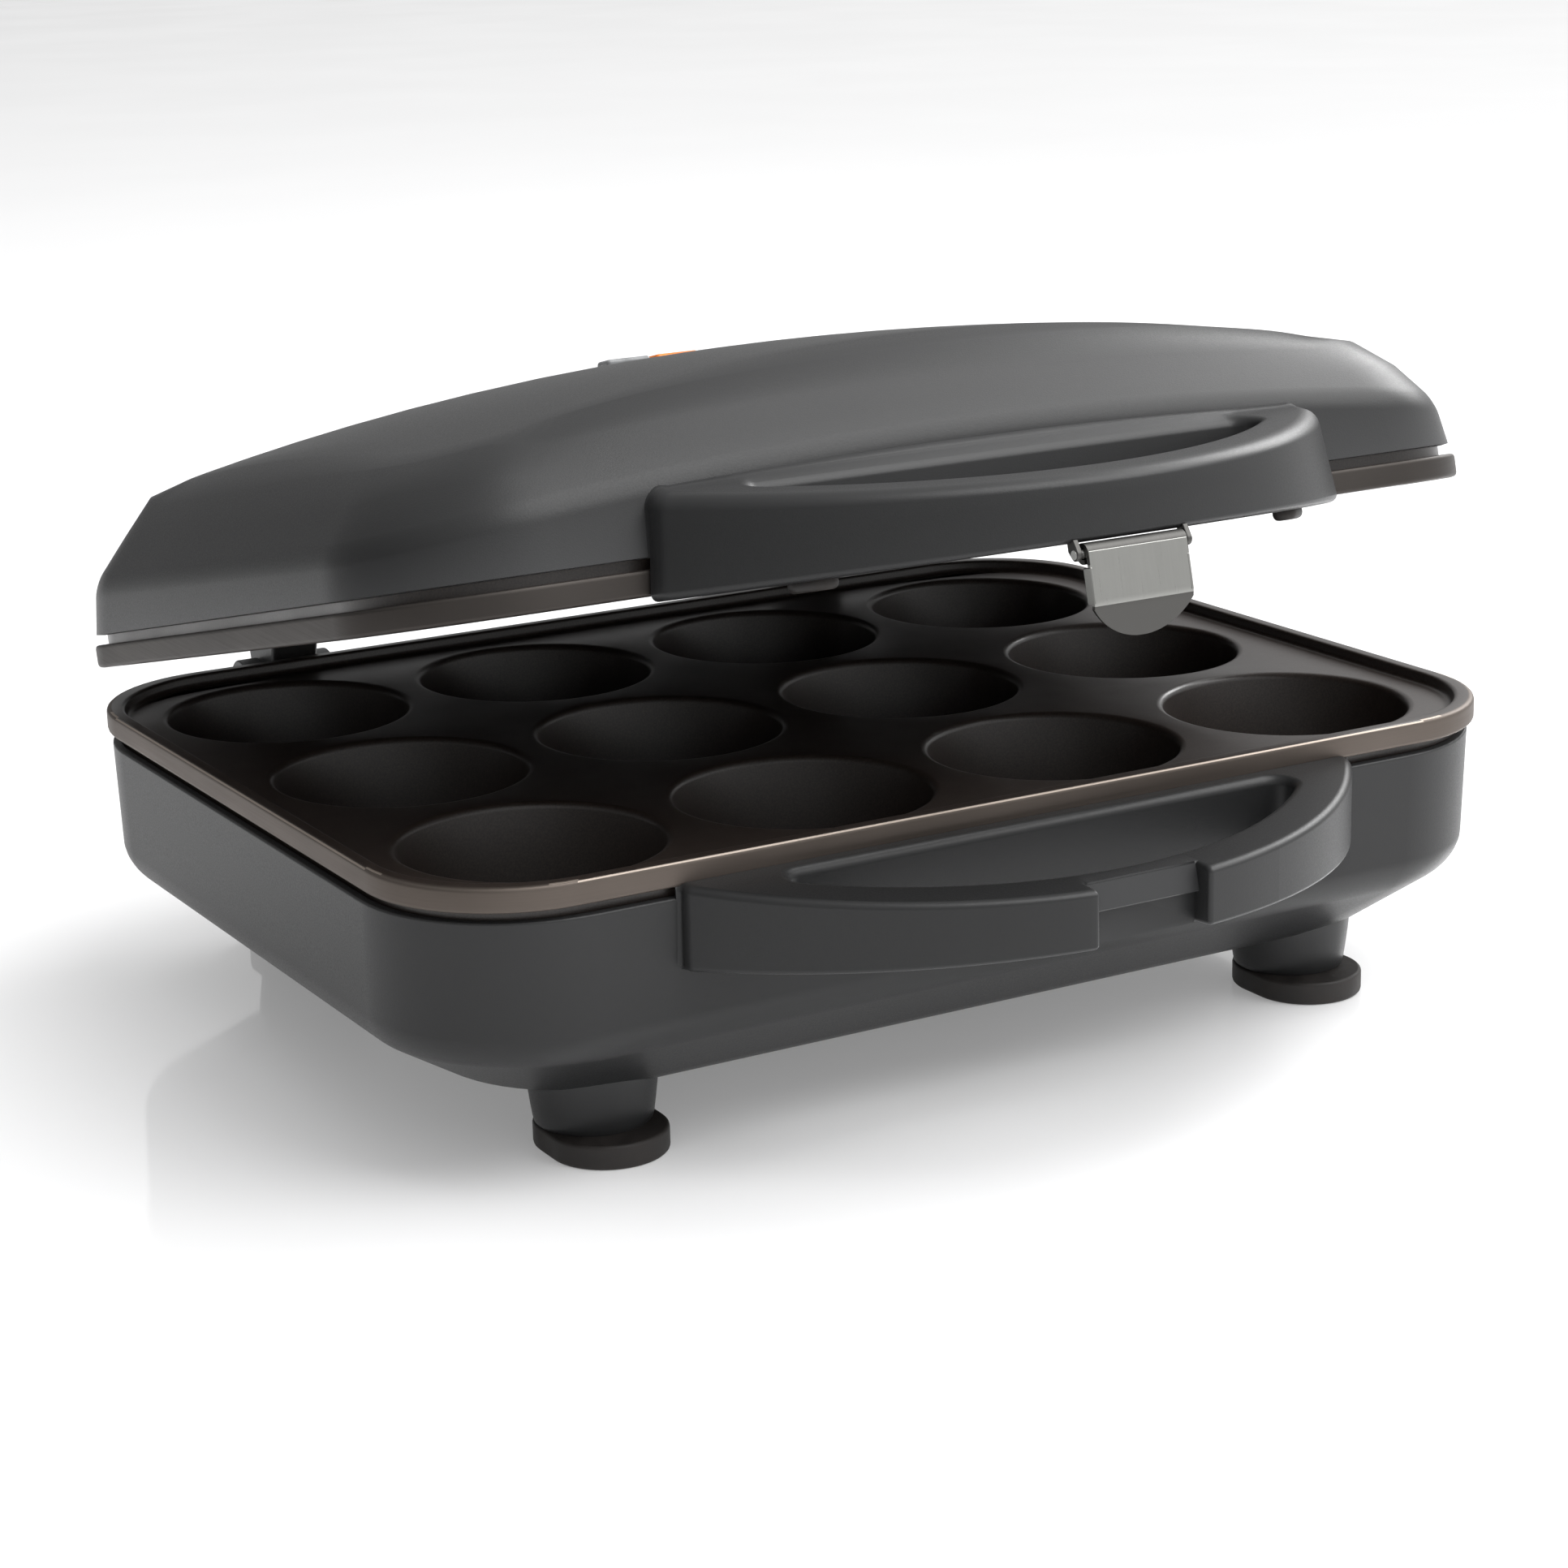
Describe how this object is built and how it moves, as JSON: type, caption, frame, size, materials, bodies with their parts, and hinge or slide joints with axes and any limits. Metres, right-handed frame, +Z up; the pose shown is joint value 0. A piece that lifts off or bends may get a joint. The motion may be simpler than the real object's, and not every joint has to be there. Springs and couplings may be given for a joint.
{
  "type": "muffin maker",
  "caption": "Table-top muffin maker: a lower plate of deep cups in a footed housing, a hinged arched lid with its own plate, D-handles and a swinging latch.",
  "frame": {"origin": "on the table under the middle of the outline at rest", "axes": "+X to the right of the front, +Y to the rear hinge, +Z up"},
  "size_m": [0.36, 0.3646, 0.2079],
  "materials": {
    "housing": "satin charcoal moulded plastic",
    "plate": "cast aluminium with dark non-stick coat",
    "heater": "oxidised steel tube",
    "shield": "mill sheet",
    "steel": "zinc plated",
    "latch": "satin stainless sheet",
    "rubber": "matt rubber",
    "terminal": "natural nylon",
    "board": "laminate",
    "clear_lens": "clear plastic",
    "orange_lens": "orange plastic"
  },
  "bodies": {
    "base": {"lower_housing": "housing", "lower_baking_plate": "plate", "lower_heating_element": "heater", "lower_heat_shield": "shield", "lower_screws": "steel", "thermostat": "steel", "thermal_fuse": "steel", "terminal_block": "terminal", "cord_inlet": "rubber", "foot_leg_front_left": "housing", "foot_leg_front_right": "housing", "foot_leg_rear_left": "housing", "foot_leg_rear_right": "housing", "foot_pad_front_left": "rubber", "foot_pad_front_right": "rubber", "foot_pad_rear_left": "rubber", "foot_pad_rear_right": "rubber", "hinge_pin_left": "steel", "hinge_pin_right": "steel"},
    "lid": {"upper_housing": "housing", "upper_baking_plate": "plate", "upper_heating_element": "heater", "upper_heat_shield": "shield", "upper_screws": "steel", "lamp_bezel": "housing", "clear_lamp_lens": "clear_lens", "orange_lamp_lens": "orange_lens", "lamp_board": "board", "bumper_left": "rubber", "bumper_right": "rubber", "latch_pin": "steel"},
    "latch": {"latch": "latch"}
  },
  "joints": [
    {"name": "lid_hinge", "type": "hinge", "parent": "base", "child": "lid", "pos_m": [0, 0.16847, 0.0752], "axis": [-1, 0, 0], "range_deg": [-13.46, 80]},
    {"name": "latch_hinge", "type": "hinge", "parent": "lid", "child": "latch", "pos_m": [0, -0.17107, 0.16449], "axis": [-1, 0, 0], "range_deg": [-12, 75]}
  ]
}
